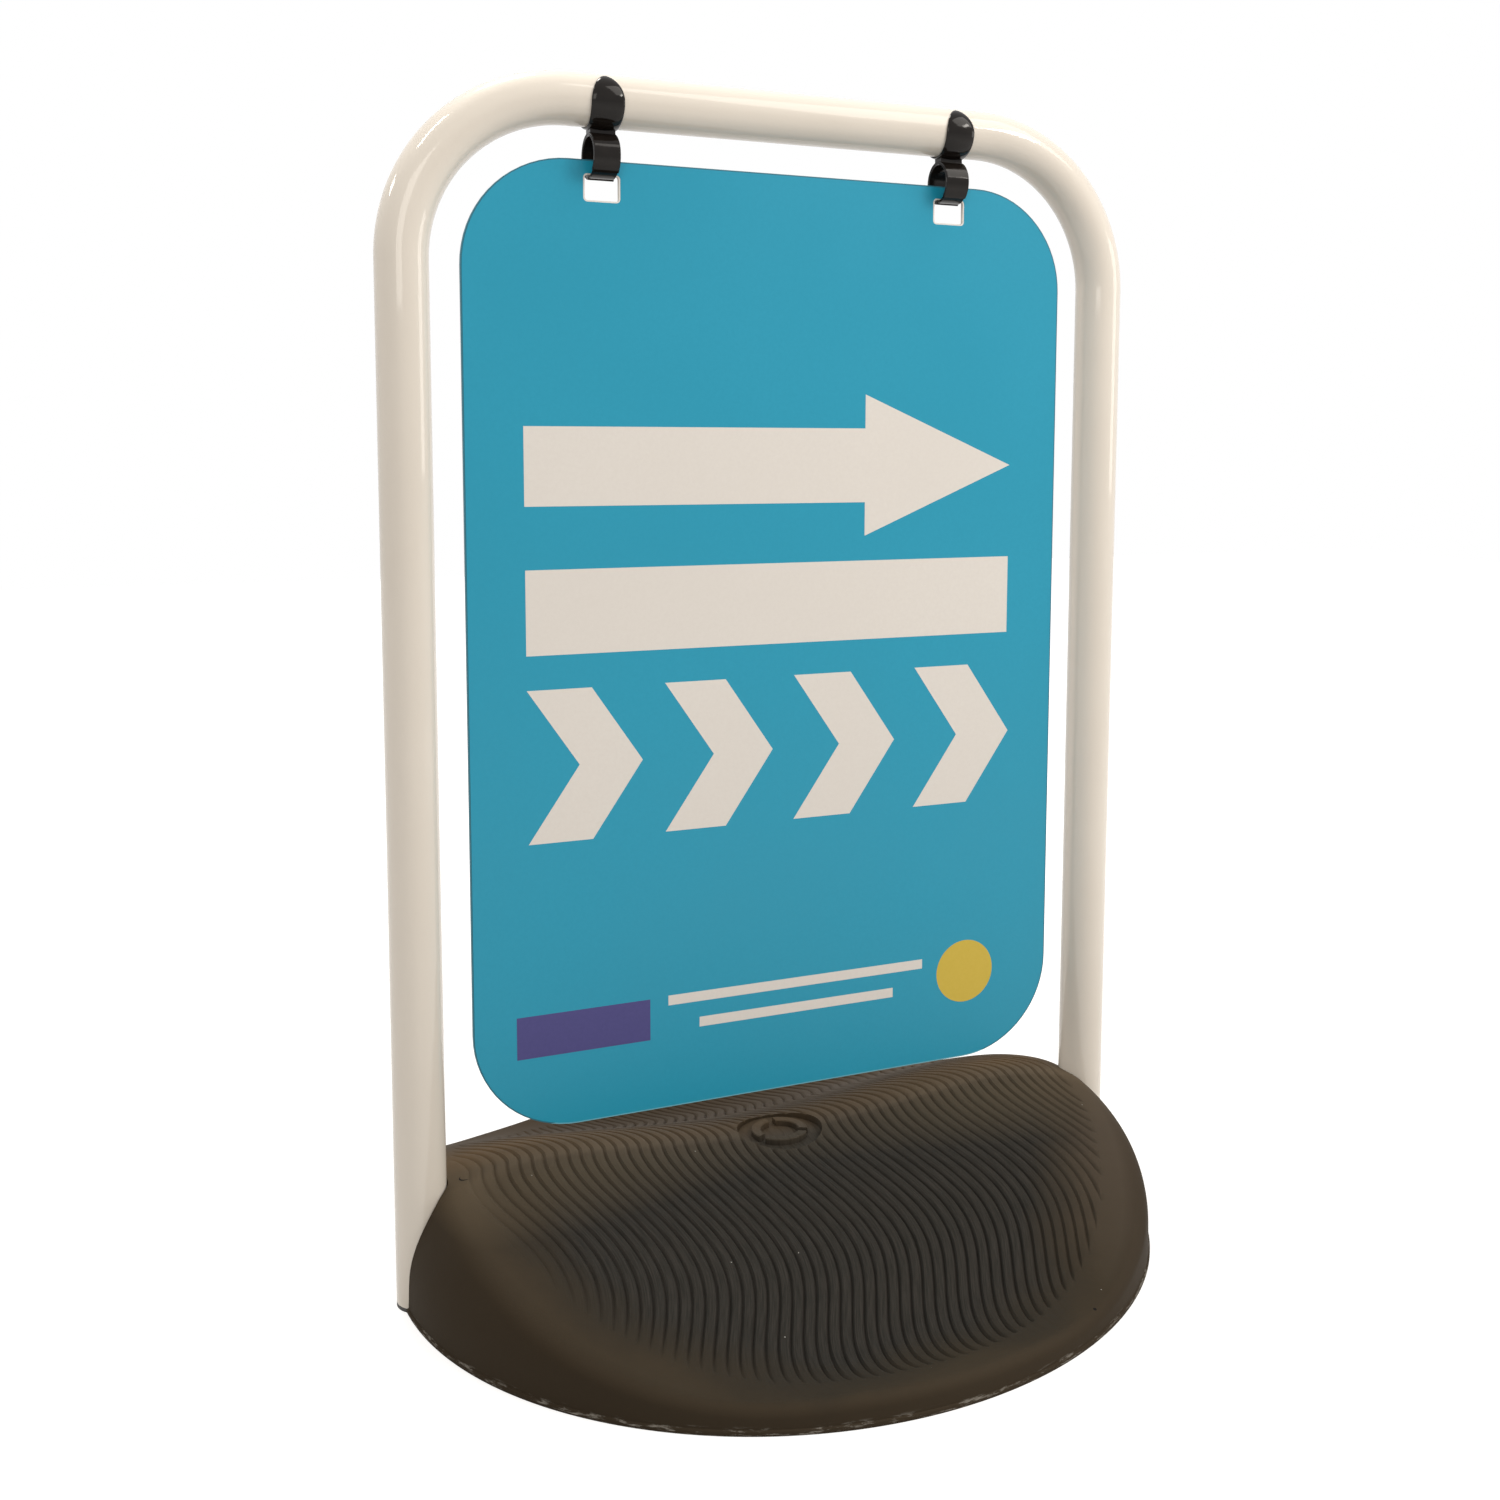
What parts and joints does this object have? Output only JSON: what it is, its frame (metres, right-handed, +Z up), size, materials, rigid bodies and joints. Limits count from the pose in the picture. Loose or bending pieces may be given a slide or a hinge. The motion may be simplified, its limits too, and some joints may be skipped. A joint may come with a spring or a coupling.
{
  "type": "swing sign",
  "caption": "Free-standing pavement sign: a panel hangs on clips from a bent tube hoop that stands in a heavy oval moulded base.",
  "frame": {"origin": "on the floor under the middle of the base", "axes": "+X along the bar, +Y towards the back, +Z up"},
  "size_m": [0.62, 0.586, 0.9103],
  "materials": {
    "recycled_pvc": "rough moulded recycled plastic",
    "cream_powder_coat": "smooth semi-gloss powder coat",
    "black_plug": "moulded",
    "zinc_plated_steel": "bright zinc",
    "black_nylon": "glossy moulded nylon",
    "white_pvc_sheet": "satin sheet",
    "printed_film": "satin printed film"
  },
  "bodies": {
    "stand": {"base_moulding": "recycled_pvc", "frame_tube": "cream_powder_coat", "left_end_plug": "black_plug", "right_end_plug": "black_plug", "tie_strap": "zinc_plated_steel", "left_tie_bolt": "zinc_plated_steel", "right_tie_bolt": "zinc_plated_steel", "left_tie_washer": "zinc_plated_steel", "right_tie_washer": "zinc_plated_steel", "left_rivet_nut": "zinc_plated_steel", "right_rivet_nut": "zinc_plated_steel"},
    "left_hanger": {"left_hanger": "black_nylon"},
    "right_hanger": {"right_hanger": "black_nylon"},
    "panel": {"panel_board": "white_pvc_sheet", "front_print": "printed_film", "rear_print": "printed_film"}
  },
  "joints": [
    {"name": "left_hanger_turn", "type": "hinge", "parent": "stand", "child": "left_hanger", "pos_m": [-0.145, 0, 0.89126], "axis": [1, 0, 0], "range_deg": [-25, 25]},
    {"name": "right_hanger_turn", "type": "hinge", "parent": "stand", "child": "right_hanger", "pos_m": [0.145, 0, 0.89126], "axis": [1, 0, 0], "range_deg": [-25, 25]},
    {"name": "panel_swing", "type": "hinge", "parent": "left_hanger", "child": "panel", "pos_m": [0, 0, 0.8395], "axis": [1, 0, 0], "range_deg": [-60, 60]}
  ],
  "couplings": [
    {"joint": "right_hanger_turn", "follows": "left_hanger_turn", "ratio": 1}
  ]
}
